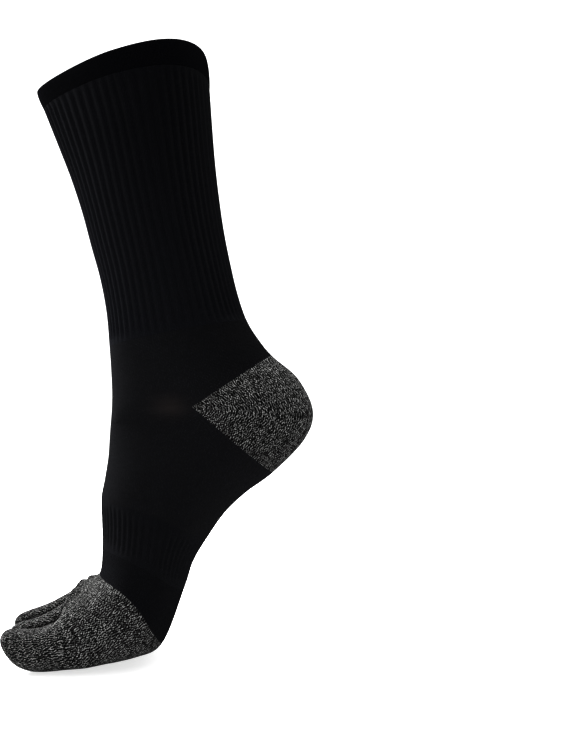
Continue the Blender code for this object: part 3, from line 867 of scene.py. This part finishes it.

# %% [markdown]
# One function makes all the knits. The stitch height drives a bump of a fraction of a millimetre, and
# darkens the gaps between the yarns, where little light gets in. Sheen stands for the loose fibres. Black
# yarn has the same twist as the marl, of two strands that are nearly alike. A last step paints light and
# shade on the cloth: it makes it lighter or darker along any direction of the sock.

# %% The knit material
YARN_ROUGHNESS = 0.85
FIBRE_ROUGHNESS = 0.5
BLACK_RELIEF = 0.00028      # metres
MARL_RELIEF = 0.00016
GLINT = 1.8                 # how much lighter the second strand of black yarn is
DEEPEST = 0.97              # how dark the painted shade in the deepest crease between two toes is


def knit(name, gap_colour, yarn_colour, sheen, pale_colour=None, relief=BLACK_RELIEF, highlighted=None, painted_light=()):
    """A knitted cloth: gaps, yarn, and for marl a pale strand, with the colour of a painted highlight if one
    is given.

    The last argument paints light and shade: each row is a direction, and two places along it, each with
    how much lighter the cloth is painted there.
    """
    surface = bpy.data.materials.new(name)
    surface.use_nodes = True
    tree = surface.node_tree
    own_map = add_node(tree, "UVMap", uv_map="stitches").outputs["UV"]
    place = add_node(tree, "TexCoord").outputs["Object"]
    loops = add_node(tree, "Group", {"Stitches": own_map}, node_tree=stitch)
    twist = add_node(tree, "Group", {"Stitches": own_map, "Row": loops.outputs["Row"], "Place": place},
                     node_tree=marl)
    second_strand = pale_colour or [value * GLINT for value in yarn_colour]
    yarn = blend(tree, twist.outputs["Pale"], yarn_colour, second_strand)
    colour = blend(tree, loops.outputs["Height"], gap_colour, yarn)
    # Painted shade between the toes: the crease mark mixes the colour toward the gap colour.
    if pale_colour:
        crease = add_node(tree, "Attribute", attribute_name="crease").outputs["Fac"]
        colour = blend(tree, maths(tree, "MULTIPLY", crease, DEEPEST), colour, gap_colour)
    if highlighted:
        highlight_amount = add_node(tree, "Attribute", attribute_name="highlight").outputs["Fac"]
        colour = blend(tree, highlight_amount, colour, highlighted)
    # Painted light and shade: the colour is scaled up or down along each given direction.
    for direction, *ends in painted_light:
        along = add_node(tree, "VectorMath", {0: place, 1: direction}, operation="DOT_PRODUCT")
        limits = dict(zip(("From Min", "To Min", "From Max", "To Max"), ends))
        tone = add_node(tree, "MapRange", {"Value": along.outputs["Value"], **limits})
        scaled = {0: colour, "Scale": tone.outputs["Result"]}
        colour = add_node(tree, "VectorMath", scaled, operation="SCALE").outputs["Vector"]
    bump = add_node(tree, "Bump", {"Distance": relief, "Height": loops.outputs["Height"]})
    shader = tree.nodes["Principled BSDF"]
    for label, value in (("Base Color", colour), ("Normal", bump.outputs["Normal"]),
                         ("Roughness", YARN_ROUGHNESS), ("Specular IOR Level", 0.0),
                         ("Sheen Weight", sheen), ("Sheen Roughness", FIBRE_ROUGHNESS)):
        set_input(tree, shader.inputs[label], value)
    print(name, len(tree.nodes), "nodes")
    return surface


# %% [markdown]
# The black cloths differ in tone. The welt is the darkest, because it is folded double. Painted light makes
# the ribs lighter toward the ankle and toward the front of the leg, and painted shade makes the plain knit
# darkest above the heel. The marl gets painted shade on top of the toes, where the overhead lamp is
# strongest, and the heel gets painted shade that grows darker toward the sole. Each row of the last table
# then says which pieces of the packed model a dressed piece stands for.

# %% Seven cloths
UP = (0.0, 0.0, 1.0)
BACKWARD = (1.0, 0.0, 0.0)          # from the toes to the heel
UP_AND_BACK = (1.0, 0.0, 1.0)
UP_AND_FORWARD = (-0.5, 0.0, 1.0)
MARL_GAP, MARL_BLACK = (0.0030, 0.0030, 0.0030), (0.0035, 0.0035, 0.0035)
welt_cloth = knit("black_welt_knit", (0.0013, 0.0013, 0.0017), (0.0032, 0.0033, 0.0042), 0.005)
# Painted light: the ribs are lighter toward the ankle and toward the front of the leg.
rib_cloth = knit("black_rib_knit", (0.0020, 0.0020, 0.0026), (0.0055, 0.0058, 0.0072), 0.016,
                 painted_light=[(UP, -0.155, 1.48, -0.043, 0.82), (BACKWARD, -0.013, 1.40, 0.068, 0.82)])
# Painted light and shade: the plain knit is lighter up the ankle and darkest above the heel.
plain_cloth = knit("black_plain_knit", (0.0032, 0.0032, 0.0037), (0.0100, 0.0102, 0.0116), 0.014,
                   # Painted highlight: a lighter, warmer spot before the wedge's point.
                   highlighted=(0.0165, 0.0145, 0.0145),
                   painted_light=[(UP, -0.27, 0.94, -0.15, 1.14), (UP_AND_BACK, -0.15, 1.0, -0.08, 0.5)])
arch_cloth = knit("black_arch_knit", (0.0029, 0.0029, 0.0036), (0.0079, 0.0082, 0.0098), 0.016)
ball_cloth = knit("black_ball_knit", (0.0024, 0.0024, 0.0030), (0.0067, 0.0069, 0.0081), 0.012)
# Painted shade: the marl is darker on top of the toes, where the overhead lamp is strongest.
marl_cloth = knit("grey_marl_knit", MARL_GAP, MARL_BLACK, 0.012, pale_colour=(0.375, 0.375, 0.37),
                  relief=MARL_RELIEF, painted_light=[(UP_AND_FORWARD, -0.325, 1.0, -0.309, 0.86)])
# Painted shade: the heel's marl grows darker toward the sole.
heel_cloth = knit("grey_heel_knit", MARL_GAP, MARL_BLACK, 0.012, pale_colour=(0.400, 0.400, 0.395),
                  relief=MARL_RELIEF, painted_light=[(UP, -0.245, 0.66, -0.185, 1.14)])
FINISH = (
    (cuff, welt_cloth, "black_welt_knit", ("cuff",)),
    (leg, rib_cloth, "black_rib_knit", ("leg",)),
    (ankle, plain_cloth, "black_plain_knit", ("ankle",)),
    (heel, heel_cloth, "grey_marl_knit", ("heel",)),
    (arch, arch_cloth, "black_rib_knit", ("arch_band",)),
    (ball, ball_cloth, "black_plain_knit", ("ball_band",)),
    (forefoot, marl_cloth, "grey_marl_knit",
     ("forefoot", "big_toe", "second_toe", "third_toe", "fourth_toe", "little_toe")),
)
for piece, surface, slot_name, nodes in FINISH:
    piece.data.materials.clear()
    piece.data.materials.append(surface)
    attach(piece, "root")
    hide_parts(*nodes)
    print(piece.name, "stands for", ", ".join(nodes))

# %% [markdown]
# ## Floor, light and camera
# The floor is a plain pale sheet just under the toes. It glows a little, so the shadow on it stays faint.

# %% Pale floor
FLOOR_GAP = 0.0006
FLOOR_SIZE = 60             # metres, so that its edge is out of sight
FLOOR_LOOK = (("Base Color", (0.45, 0.45, 0.45, 1.0)), ("Roughness", 0.9),
              ("Emission Color", (1.0, 1.0, 1.0, 1.0)), ("Emission Strength", 0.72))
lowest = min(corner[2] for piece, *_ in FINISH for corner in piece.bound_box)
bpy.ops.object.select_all(action="DESELECT")
bpy.ops.mesh.primitive_plane_add(size=FLOOR_SIZE, location=(0, 0, lowest - FLOOR_GAP))
floor = bpy.context.object
floor.name = "floor"
pale_floor = bpy.data.materials.new("pale_floor")
pale_floor.use_nodes = True
for label, value in FLOOR_LOOK:
    pale_floor.node_tree.nodes["Principled BSDF"].inputs[label].default_value = value
floor.data.materials.append(pale_floor)
print("floor at", round(lowest - FLOOR_GAP, 4))

# %% [markdown]
# A white surrounding gives the even light of a product picture, a large soft lamp overhead lights the top
# of the forefoot, and one from behind the toes brightens the front of the leg.

# %% White surrounding and two lamps
SKY_STRENGTH = 1.62
LAMP_SIZE = 0.6
LAMP_AIM = (0.0, 0.0, -0.25)
LAMPS = (("top_lamp", (0.0, 0.0, 1.1), 31), ("rim_lamp", (-0.8, 0.6, 0.4), 88))     # name, place, watts
sky = bpy.context.scene.world or bpy.data.worlds.new("white_room")
bpy.context.scene.world = sky
sky.use_nodes = True
sky.node_tree.nodes["Background"].inputs["Color"].default_value = (1.0, 1.0, 1.0, 1.0)
sky.node_tree.nodes["Background"].inputs["Strength"].default_value = SKY_STRENGTH


def soft_lamp(name, place, power):
    """A square soft lamp that looks at the middle of the sock."""
    light = bpy.data.lights.new(name, "AREA")
    light.shape = "SQUARE"
    light.size = LAMP_SIZE
    light.energy = power
    holder = bpy.data.objects.new(name, light)
    holder.location = place
    direction = np.array(LAMP_AIM) - np.array(place)
    flat = math.hypot(direction[0], direction[1])
    holder.rotation_euler = (math.atan2(flat, -direction[2]), 0, math.atan2(-direction[0], direction[1]))
    bpy.context.scene.collection.objects.link(holder)
    print(name, power, "W")


for name, place, power in LAMPS:
    soft_lamp(name, place, power)

# %% [markdown]
# The camera looks level along +Y from about 0.8 m. Its lens and place follow from the size of a pixel in
# the side plane, and from the pixel at which the middle of the rim, the frame's origin, has to show.

# %% Camera
PICTURE = (569, 731)        # pixels
ORIGIN_PIXEL = (122, 76)
PIXEL = 0.00063             # metres a pixel in the side plane
AWAY = 0.78
SENSOR = 36.0
view_point = bpy.data.cameras.new("view")
view_point.sensor_fit = "HORIZONTAL"
view_point.sensor_width = SENSOR
view_point.lens = SENSOR * AWAY / (PICTURE[0] * PIXEL)
camera = bpy.data.objects.new("view", view_point)
aside, down = (PICTURE[k] / 2 - ORIGIN_PIXEL[k] for k in (0, 1))
camera.location = (aside * PIXEL, -AWAY, -down * PIXEL)
camera.rotation_euler = (math.pi / 2, 0.0, 0.0)
bpy.context.scene.collection.objects.link(camera)
bpy.context.scene.camera = camera
bpy.context.scene.view_settings.view_transform = "Standard"
bpy.context.scene.view_settings.gamma = 0.7     # the contrast of a product picture
print("lens", round(view_point.lens, 2))
